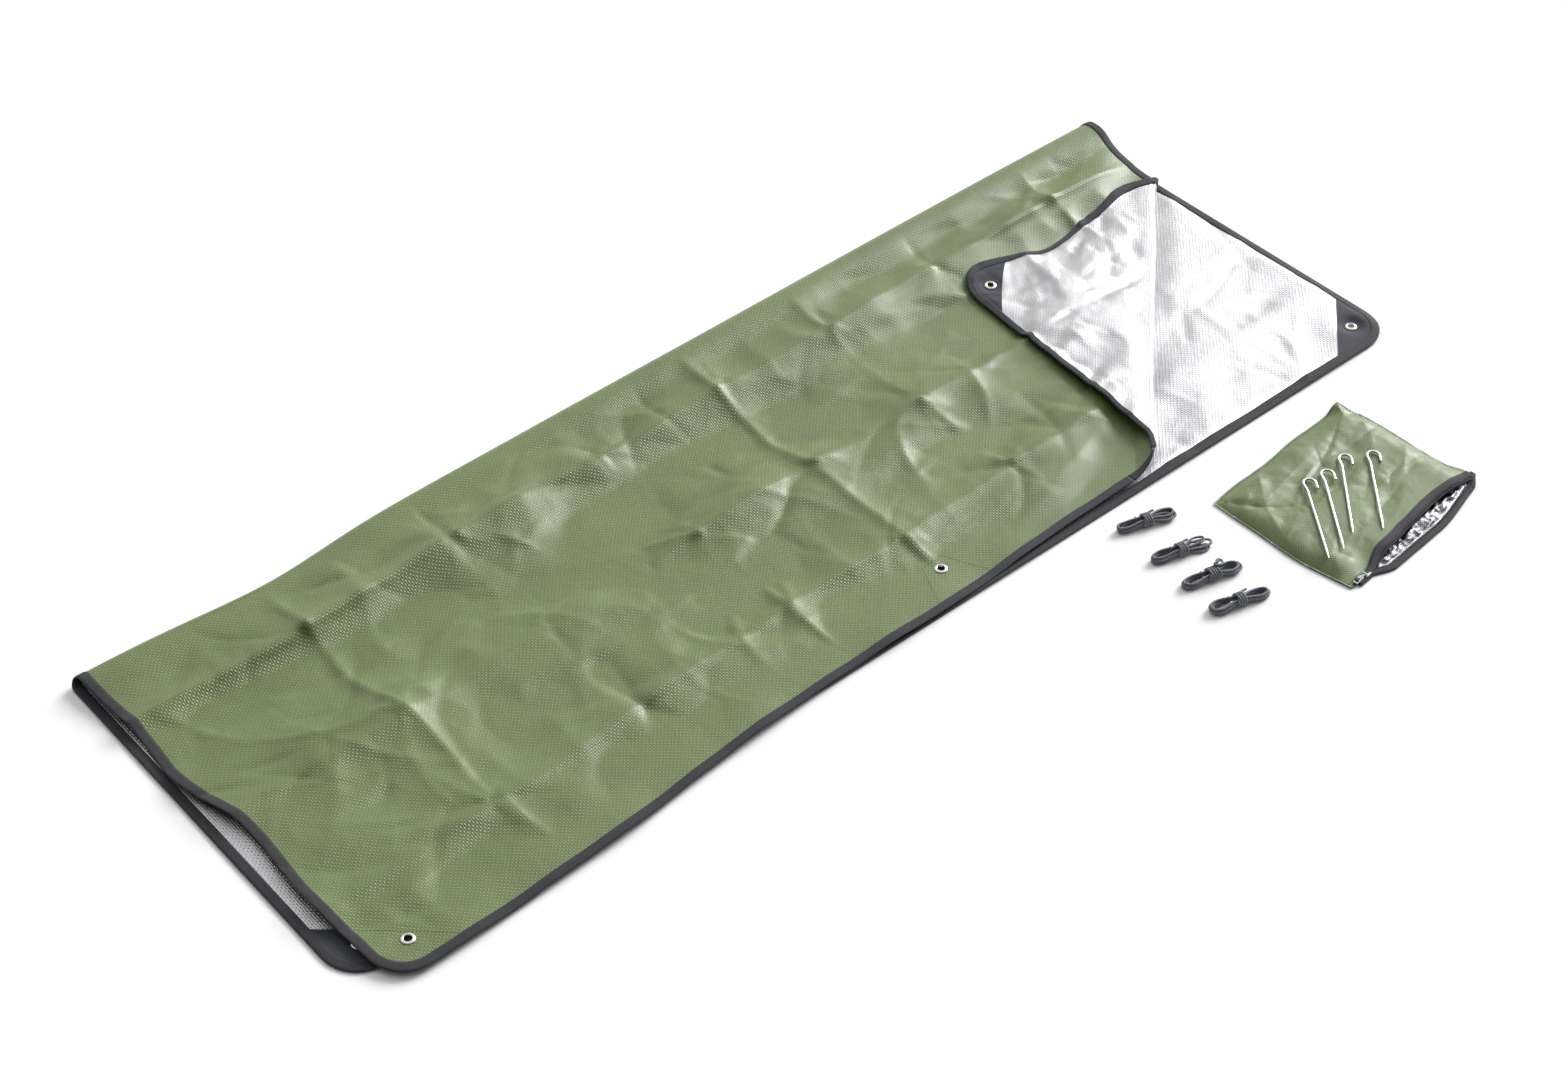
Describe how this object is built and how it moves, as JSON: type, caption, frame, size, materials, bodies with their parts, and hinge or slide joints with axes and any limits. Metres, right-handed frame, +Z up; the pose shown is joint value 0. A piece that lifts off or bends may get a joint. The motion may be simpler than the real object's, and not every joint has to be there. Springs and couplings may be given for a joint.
{
  "type": "bivy sack",
  "caption": "Foil-lined fabric sheet folded lengthwise into a sleeping cover with eyelets, a corner folded back, and its stuff sack, hook pegs and guy lines.",
  "frame": {"origin": "middle of the lower layer's underside, on the ground", "axes": "+X along the long fold towards the head end, +Y towards the closed long fold, +Z up"},
  "size_m": [2.1134, 1.0898, 0.0404],
  "materials": {
    "green_shell": "coated woven, semi-gloss",
    "foil": "aluminised film, glossy, embossed weave",
    "binding": "woven tape, matte",
    "patch": "woven reinforcement, matte",
    "nickel": "nickel plated brass",
    "zip_plastic": "nylon coil",
    "zip_metal": "die cast, satin",
    "peg_wire": "drawn wire, satin",
    "cord": "braided cord, matte"
  },
  "bodies": {
    "lower": {"lower_shell": "green_shell", "lower_lining": "foil", "lower_binding": "binding", "lower_foot_patch": "patch", "lower_head_patch": "patch", "lower_mid_patch": "patch", "lower_foot_eyelet": "nickel", "lower_foot_washer": "nickel", "lower_mid_eyelet": "nickel", "lower_mid_washer": "nickel", "lower_head_eyelet": "nickel", "lower_head_washer": "nickel", "fold_shell": "green_shell", "fold_lining": "foil", "fold_binding": "binding"},
    "upper": {"upper_shell": "green_shell", "upper_lining": "foil", "upper_binding": "binding", "upper_foot_patch": "patch", "upper_mid_patch": "patch", "upper_foot_eyelet": "nickel", "upper_foot_washer": "nickel", "upper_mid_eyelet": "nickel", "upper_mid_washer": "nickel", "crease_shell": "green_shell", "crease_lining": "foil", "crease_binding": "binding"},
    "flap": {"flap_shell": "green_shell", "flap_lining": "foil", "flap_binding": "binding", "flap_patch": "patch", "flap_eyelet": "nickel", "flap_washer": "nickel"},
    "stuff_sack": {"sack_lower": "green_shell", "sack_upper": "green_shell", "sack_lower_lining": "foil", "sack_upper_lining": "foil", "sack_lower_zip_tape": "binding", "sack_upper_zip_tape": "binding", "sack_lower_zip_coil": "zip_plastic", "sack_upper_zip_coil": "zip_plastic", "zip_stops": "zip_metal"},
    "zip_slider": {"zip_slider": "zip_metal"},
    "zip_pull": {"zip_pull": "zip_metal"},
    "peg_1": {"peg_1": "peg_wire"},
    "peg_2": {"peg_2": "peg_wire"},
    "peg_3": {"peg_3": "peg_wire"},
    "peg_4": {"peg_4": "peg_wire"},
    "guy_line_1": {"guy_line_1": "cord"},
    "guy_line_2": {"guy_line_2": "cord"},
    "guy_line_3": {"guy_line_3": "cord"},
    "guy_line_4": {"guy_line_4": "cord"}
  },
  "joints": [
    {"name": "long_fold", "type": "hinge", "parent": "lower", "child": "upper", "pos_m": [0, 0.345, 0.02], "axis": [-1, 0, 0], "range_deg": [0, 180], "deforming": ["fold_shell", "fold_lining", "fold_binding"]},
    {"name": "corner_fold", "type": "hinge", "parent": "upper", "child": "flap", "pos_m": [0.745, -0.079, 0.022], "axis": [0.7475, 0.6642, 0], "range_deg": [0, 180], "deforming": ["crease_shell", "crease_lining", "crease_binding"]},
    {"name": "sack_lift", "type": "slide", "parent": "lower", "child": "stuff_sack", "axis": [0, 0, 1], "range_m": [0, 0.3]},
    {"name": "zip_run", "type": "slide", "parent": "stuff_sack", "child": "zip_slider", "axis": [0.9962, 0.0872, 0], "range_m": [0, 0.266]},
    {"name": "zip_pull_swing", "type": "hinge", "parent": "zip_slider", "child": "zip_pull", "pos_m": [0.55384, -0.7187, 0.0079], "axis": [-0.0872, 0.9962, 0], "range_deg": [0, 180]},
    {"name": "peg_1_lift", "type": "slide", "parent": "stuff_sack", "child": "peg_1", "axis": [0, 0, 1], "range_m": [0, 0.2]},
    {"name": "peg_2_lift", "type": "slide", "parent": "stuff_sack", "child": "peg_2", "axis": [0, 0, 1], "range_m": [0, 0.2]},
    {"name": "peg_3_lift", "type": "slide", "parent": "stuff_sack", "child": "peg_3", "axis": [0, 0, 1], "range_m": [0, 0.2]},
    {"name": "peg_4_lift", "type": "slide", "parent": "stuff_sack", "child": "peg_4", "axis": [0, 0, 1], "range_m": [0, 0.2]},
    {"name": "guy_line_1_lift", "type": "slide", "parent": "lower", "child": "guy_line_1", "axis": [0, 0, 1], "range_m": [0, 0.2]},
    {"name": "guy_line_2_lift", "type": "slide", "parent": "lower", "child": "guy_line_2", "axis": [0, 0, 1], "range_m": [0, 0.2]},
    {"name": "guy_line_3_lift", "type": "slide", "parent": "lower", "child": "guy_line_3", "axis": [0, 0, 1], "range_m": [0, 0.2]},
    {"name": "guy_line_4_lift", "type": "slide", "parent": "lower", "child": "guy_line_4", "axis": [0, 0, 1], "range_m": [0, 0.2]}
  ]
}
